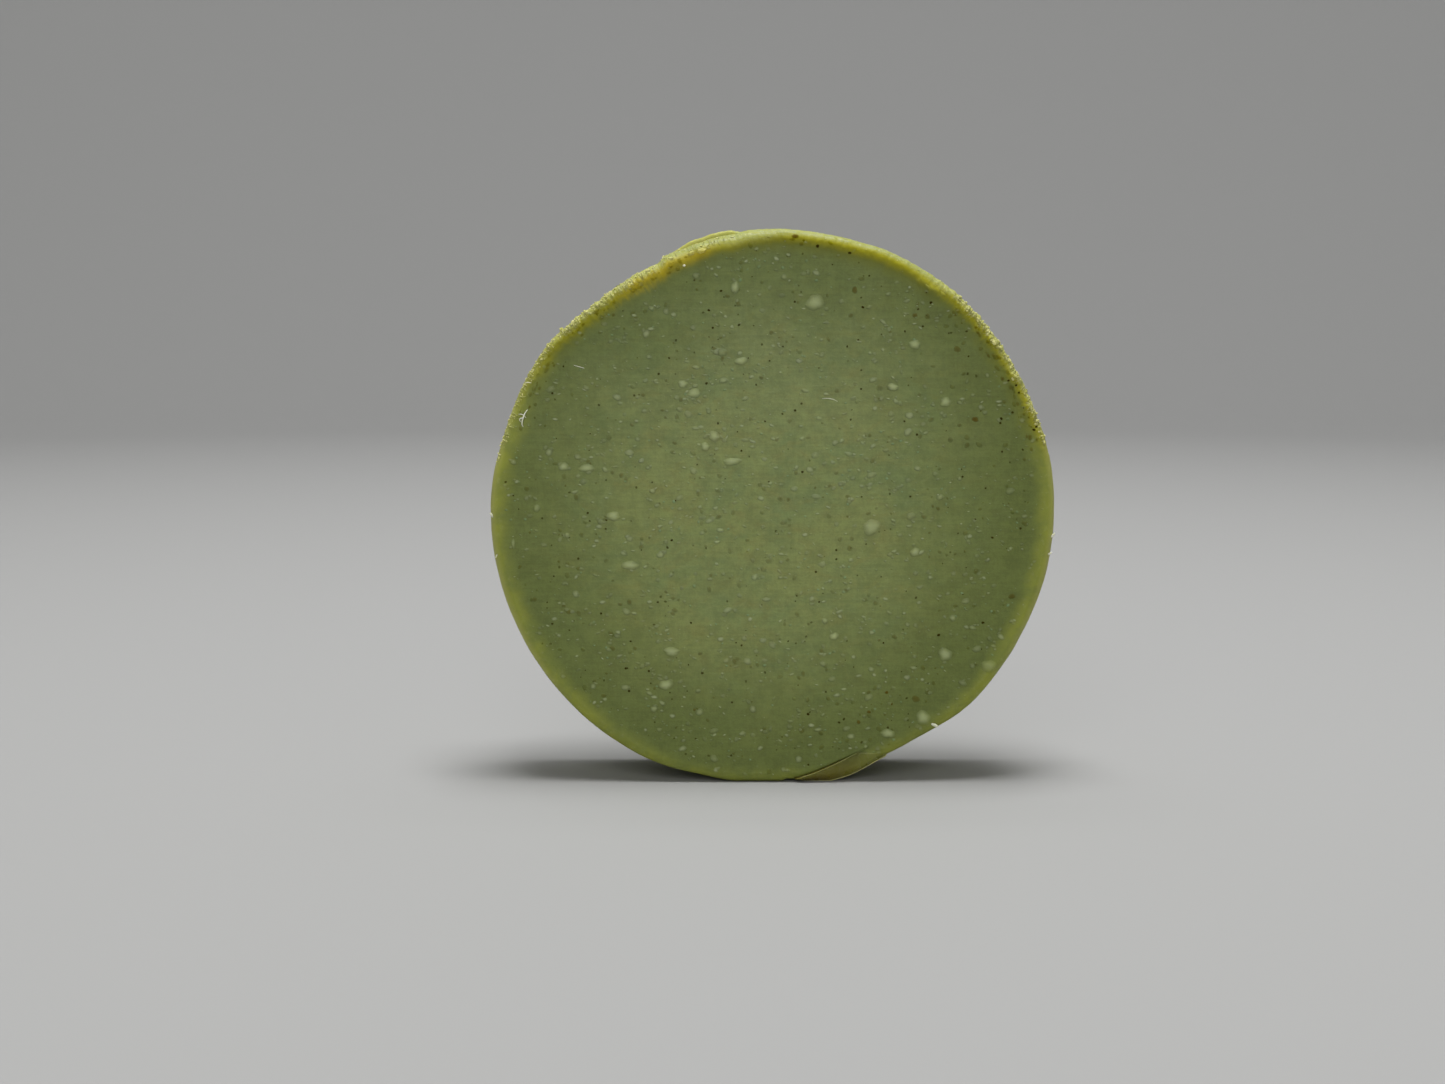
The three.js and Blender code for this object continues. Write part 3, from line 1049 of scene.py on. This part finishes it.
# ---- Materials ----
MIDDLE_GREEN = (0.256, 0.299, 0.099, 1)
TOP_LIGHT_GREEN = (0.254, 0.301, 0.137, 1)  # painted light: the bluer tint of the light from above, towards the top of the cake
TEAL_GREEN = (0.182, 0.256, 0.102, 1)
OLIVE_GREEN = (0.266, 0.26, 0.08, 1)
LIGHT_GREEN = (0.3, 0.342, 0.126, 1)
# painted shade: the darker, stronger green towards the rind
OUTER_SHADE_GREEN = (0.144, 0.18, 0.042, 1)
RIND_YELLOW = (0.315, 0.345, 0.05, 1)
RIND_GREEN = (0.225, 0.268, 0.056, 1)
RIND_BLOOM = (0.4, 0.42, 0.16, 1)
OLIVE_SHADE = (0.14, 0.15, 0.014, 1)
GOLDEN_BAND = (0.415, 0.386, 0.002, 1)
AMBER_BAND = (0.58, 0.462, 0.012, 1)
CREST_PALE = (0.38, 0.395, 0.105, 1)
CREST_MILKY = (0.315, 0.345, 0.115, 1)
CREST_LIME = (0.315, 0.33, 0.06, 1)
CREST_GLINT = (0.7, 0.67, 0.25, 1)
EDGE_HIGHLIGHT = (0.47, 0.47, 0.14, 1)
CREASE_SHADOW = (0.11, 0.115, 0.024, 1)
SHADE_SLANT = (-0.06, 0.0, 0.09)  # the painted shade of the outer green reaches further in at the lower right
BUMP_DEPTH = 0.035
SHINE = 0.32


def soap_green(tree, place, depth):
    """The mottled green of the cut soap, a little stronger towards the rind, where painted shade darkens
    it.
    """
    height = reach_along(tree, place, (0, 0, 1))
    # painted light: the green turns bluer towards the top, where the light from above falls
    middle = mix(tree, ramp(tree, height, -5.0, 32.0, 0.0, 0.6), MIDDLE_GREEN, TOP_LIGHT_GREEN)
    wide = noise_texture(tree, place, 0.11, 5.0, 0.62, 0.5, stretch=(0.8, 1, 1))
    teal = mix(tree, ramp(tree, wide, 0.38, 0.68, 0.0, 0.5), middle, TEAL_GREEN)
    patches = noise_texture(tree, place, 0.4, 6.0, 0.72, 0.8, stretch=(0.6, 1, 1))
    olive = mix(tree, ramp(tree, patches, 0.45, 0.7, 0.0, 0.5), teal, OLIVE_GREEN)
    clouds = noise_texture(tree, place, 0.9, 5.0, 0.7, 0.6, stretch=(0.7, 1, 1))
    light = mix(tree, ramp(tree, clouds, 0.52, 0.78, 0.0, 0.7), olive, LIGHT_GREEN)
    grain = noise_texture(tree, place, 0.55, 7.0, 0.9, 0.2, stretch=(0.75, 1, 1))
    upright = noise_texture(tree, place, 1.2, 3.0, 0.6, stretch=(2.2, 1, 0.3))
    level = noise_texture(tree, place, 1.2, 3.0, 0.6, stretch=(0.14, 1, 2.4))
    combed = plus(tree, times(tree, upright, 0.17), times(tree, level, 0.23))
    shade = ramp(tree, plus(tree, grain, combed), 0.54, 0.86, 0.86, 1.14)
    drift = times(tree, noise_texture(tree, place, 0.12, 2.0), 8.0)
    # painted shade: the face darkens towards the rind, most at the lower right
    shifted = plus(tree, minus(tree, depth, drift), reach_along(tree, place, SHADE_SLANT))
    edge_shaded = mix(tree, ramp(tree, shifted, -4.0, 22.0, 0.95, 0.0), light, OUTER_SHADE_GREEN)
    return scaled(tree, edge_shaded, shade)


def rind_colour(tree, base, place, depth):
    """The yellower dried skin: soft on the whole edge, golden and ragged where it is torn, with painted
    shade inside the torn band, a painted highlight on the edge and painted glints on the crest.
    """
    torn_share = attribute(tree, "torn")
    ragged = attribute(tree, "ragged")
    wander = noise_texture(tree, place, 0.35, 3.0, 0.6)
    shifted = plus(tree, depth, times(tree, wander, -1.8))
    skin = mix(tree, ramp(tree, shifted, -0.6, 2.6, 1.0, 0.0), base, dried_skin(tree, place))
    # painted highlight: a paler colour on the rounded edge where it catches more light
    edge_light_share = times(tree, ramp(tree, depth, 0.0, 1.2, 0.7, 0.0), attribute(tree, "painted_edge_light"))
    edge_lit = mix(tree, edge_light_share, skin, EDGE_HIGHLIGHT)
    # painted shade: the olive darkening inside the torn band, where it slopes away from the light above
    shade_strength = minus(tree, torn_share, times(tree, ragged, 0.6))
    shade = times(tree, ramp(tree, shifted, 0.4, 3.0, 0.8, 0.0), shade_strength)
    shaded = mix(tree, shade, edge_lit, OLIVE_SHADE)
    streaks = noise_texture(tree, rim_coordinates(tree, place, depth), 2.6, 3.0, 0.65)
    uneven = times(tree, minus(tree, streaks, 0.5), ragged)
    reach = plus(tree, attribute(tree, "band"), times(tree, uneven, -0.45))
    lazy = plus(tree, reach, times(tree, wander, -0.5))
    golden = times(tree, ramp(tree, lazy, 0.1, 0.9, 1.0, 0.0), torn_share)
    band = mix(tree, attribute(tree, "amber"), GOLDEN_BAND, AMBER_BAND)
    banded = mix(tree, golden, shaded, band)
    crest = plus(tree, attribute(tree, "crest"), times(tree, uneven, -1.6))
    pale = times(tree, ramp(tree, crest, 0.3, 1.4, 1.0, 0.0), torn_share)
    smears = noise_texture(tree, place, 1.6, 5.0, 0.75, stretch=(0.5, 1, 2.5))
    smeared_tone = mix(tree, ramp(tree, smears, 0.42, 0.62), CREST_MILKY, CREST_LIME)
    crested = mix(tree, pale, banded, mix(tree, ragged, smeared_tone, CREST_PALE))
    # painted glints: white highlight specks on the pale crest
    specks = noise_texture(tree, place, 4.5, 2.0, 0.6)
    glints = times(tree, ramp(tree, specks, 0.56, 0.70), pale)
    bright = times(tree, glints, plus(tree, times(tree, ragged, 0.65), 0.35))
    return mix(tree, bright, crested, CREST_GLINT)


def dried_skin(tree, place):
    """Yellow rind, clouded with green and dusted with pale bloom."""
    blotches = noise_texture(tree, place, 0.22, 5.0, 0.65, 0.4, stretch=(1, 0.5, 1))
    tinted = mix(tree, ramp(tree, blotches, 0.42, 0.68, 0.0, 0.85), RIND_YELLOW, RIND_GREEN)
    dust = noise_texture(tree, place, 1.1, 6.0, 0.7, stretch=(1, 0.35, 1))
    return mix(tree, ramp(tree, dust, 0.52, 0.75, 0.0, 0.5), tinted, RIND_BLOOM)


def soap_height(tree, place, depth):
    """Relief for the bump: fine grain, blade lines on the faces and streaks across the rind."""
    grain = noise_texture(tree, place, 3.2, 3.0, 0.6)
    lines = noise_texture(tree, place, 1.6, 2.0, 0.6, stretch=(0.05, 1, 1.6))
    on_face = ramp(tree, depth, 1.5, 3.5, 0.0, 0.45)
    across = noise_texture(tree, rim_coordinates(tree, place, depth), 3.0, 3.0, 0.7)
    on_rind = ramp(tree, depth, 0.8, 2.6, 1.0, 0.0)
    height = plus(tree, grain, times(tree, lines, on_face))
    rough_skin = times(tree, attribute(tree, "torn"), 1.3)
    strength = times(tree, on_rind, plus(tree, rough_skin, 0.6))
    return plus(tree, height, times(tree, across, strength))


def soap_material(name, pale_colour, roughness, shine=SHINE):
    """Cut soap. Where the mesh's pale attribute is above 0, the pale colour shows instead."""
    material = bpy.data.materials.new(name)
    material.use_nodes = True
    tree = material.node_tree
    shader = tree.nodes["Principled BSDF"]
    place = millimetres(tree)
    depth = attribute(tree, "rim_depth")
    green = soap_green(tree, place, depth)
    skin = rind_colour(tree, green, place, depth)
    # painted shadow: the crease above the lifted paring is darkened
    crease_shaded = mix(tree, attribute(tree, "crease_shadow"), skin, CREASE_SHADOW)
    colour = mix(tree, attribute(tree, "pale"), crease_shaded, pale_colour)
    tree.links.new(colour, shader.inputs["Base Color"])
    gloss = noise_texture(tree, place, 0.6, 3.0)
    rough = ramp(tree, gloss, 0.25, 0.75, roughness - 0.08, roughness + 0.08)
    tree.links.new(rough, shader.inputs["Roughness"])
    height = soap_height(tree, place, depth)
    relief = add_node(
        tree, "ShaderNodeBump", {"Height": height, "Strength": 0.8, "Distance": BUMP_DEPTH * MM}
    )
    tree.links.new(relief.outputs[0], shader.inputs["Normal"])
    settings = {
        "Subsurface Weight": 0.35,
        "Subsurface Radius": (1.0, 0.95, 0.35),
        "Subsurface Scale": 0.9 * MM,
        "IOR": 1.44,
        "Specular IOR Level": shine,
    }
    for socket, value in settings.items():
        shader.inputs[socket].default_value = value
    return material


# ---- Stage, lights and camera ----
# In metres: the flat floor's radius, the curve up into the wall and the wall's top.
FLOOR_RADIUS, CURVE_RADIUS, WALL_TOP = 0.9, 0.6, 2.0
CURVE_STEPS = 12


def make_stage():
    """A pale floor that curves up into a plain wall all round, far from the cake."""
    profile = [(0.0, 0.0), (FLOOR_RADIUS / 3, 0.0), (FLOOR_RADIUS, 0.0)]
    for i in range(1, CURVE_STEPS + 1):
        turn = math.pi / 2 * i / CURVE_STEPS
        away, rise = CURVE_RADIUS * math.sin(turn), CURVE_RADIUS * (1 - math.cos(turn))
        profile.append((FLOOR_RADIUS + away, rise))
    profile.append((FLOOR_RADIUS + CURVE_RADIUS, WALL_TOP))
    mesh = bpy.data.meshes.new("studio_floor")
    shape = bmesh.new()
    points = [shape.verts.new((x, 0, z)) for x, z in profile]
    edges = [shape.edges.new(pair) for pair in zip(points, points[1:])]
    whole = {"axis": (0, 0, 1), "cent": (0, 0, 0), "angle": 2 * math.pi, "use_merge": True}
    bmesh.ops.spin(shape, geom=points + edges, steps=96, **whole)
    bmesh.ops.remove_doubles(shape, verts=shape.verts, dist=1e-6)
    bmesh.ops.recalc_face_normals(shape, faces=shape.faces)
    shape.to_mesh(mesh)
    shape.free()
    mesh.polygons.foreach_set("use_smooth", [True] * len(mesh.polygons))
    material = bpy.data.materials.new("studio_paper")
    material.use_nodes = True
    shader = material.node_tree.nodes["Principled BSDF"]
    shader.inputs["Base Color"].default_value = (0.36, 0.36, 0.355, 1)
    shader.inputs["Roughness"].default_value = 0.9
    mesh.materials.append(material)
    floor = linked("studio_floor", mesh)
    floor.location.z = -0.02 * MM


def add_light(name, place, target, size, power):
    data = bpy.data.lights.new(name, "AREA")
    data.size = size
    data.energy = power
    light = linked(name, data)
    light.location = place
    aim = Vector(target) - Vector(place)
    light.rotation_euler = aim.to_track_quat("-Z", "Y").to_euler()


def make_lights():
    add_light("top_softbox", (0.03, -0.06, 0.9), (0, 0, 0.03), 0.4, 8.2)
    add_light("front_softbox", (-0.1, -0.9, 0.5), (0, 0, 0.03), 0.6, 2.9)
    add_light("wall_light", (0, 0.4, 1.1), (0, 1.5, 0.5), 0.8, 6.0)
    world = bpy.data.worlds.new("studio")
    bpy.context.scene.world = world
    world.use_nodes = True
    background = world.node_tree.nodes["Background"]
    background.inputs["Color"].default_value = (1, 1, 1, 1)
    background.inputs["Strength"].default_value = 0.34


CAMERA_DISTANCE = 292.0  # level distance from the front face
CAMERA_RISE = 26.5  # above the cake's middle
CAMERA_LEFT = 6.78  # of the cake's middle
CAMERA_PITCH = 6.0
CAMERA_LENS = 54.06


def make_camera():
    data = bpy.data.cameras.new("camera")
    data.lens = CAMERA_LENS
    data.sensor_width = 36.0
    data.clip_start = 0.01
    camera = linked("camera", data)
    place = (-CAMERA_LEFT, FRONT_Y - CAMERA_DISTANCE, CENTRE_HEIGHT + CAMERA_RISE)
    camera.location = Vector(place) * MM
    camera.rotation_euler = (math.radians(90 - CAMERA_PITCH), 0, 0)
    bpy.context.scene.camera = camera
    bpy.context.scene.view_settings.view_transform = "Standard"


# ---- Build ----
make_camera()
make_stage()
make_lights()
CUT_SOAP = soap_material("cut_soap", (0.45, 0.51, 0.25, 1), 0.5)
make_cake(CUT_SOAP)
make_granules(CUT_SOAP)
make_specks(
    soap_material("dark_speck", (0.040, 0.026, 0.001, 1), 0.65, 0.05),
    soap_material("brown_spot", (0.115, 0.067, 0.001, 1), 0.65, 0.1),
)
make_teal_flecks(soap_material("teal_fleck", (0.24, 0.38, 0.16, 1), 0.5))
TORN_SOAP = soap_material("torn_rind", (0.76, 0.73, 0.29, 1), 0.45)
make_crest_crumbs(TORN_SOAP)
make_crest_fibres(TORN_SOAP)
make_torn_lip(TORN_SOAP)
make_paring(soap_material("dried_paring", (0.165, 0.125, 0.018, 1), 0.3), TORN_SOAP)
make_shavings(soap_material("white_shaving", (0.93, 0.93, 0.68, 1), 0.5))
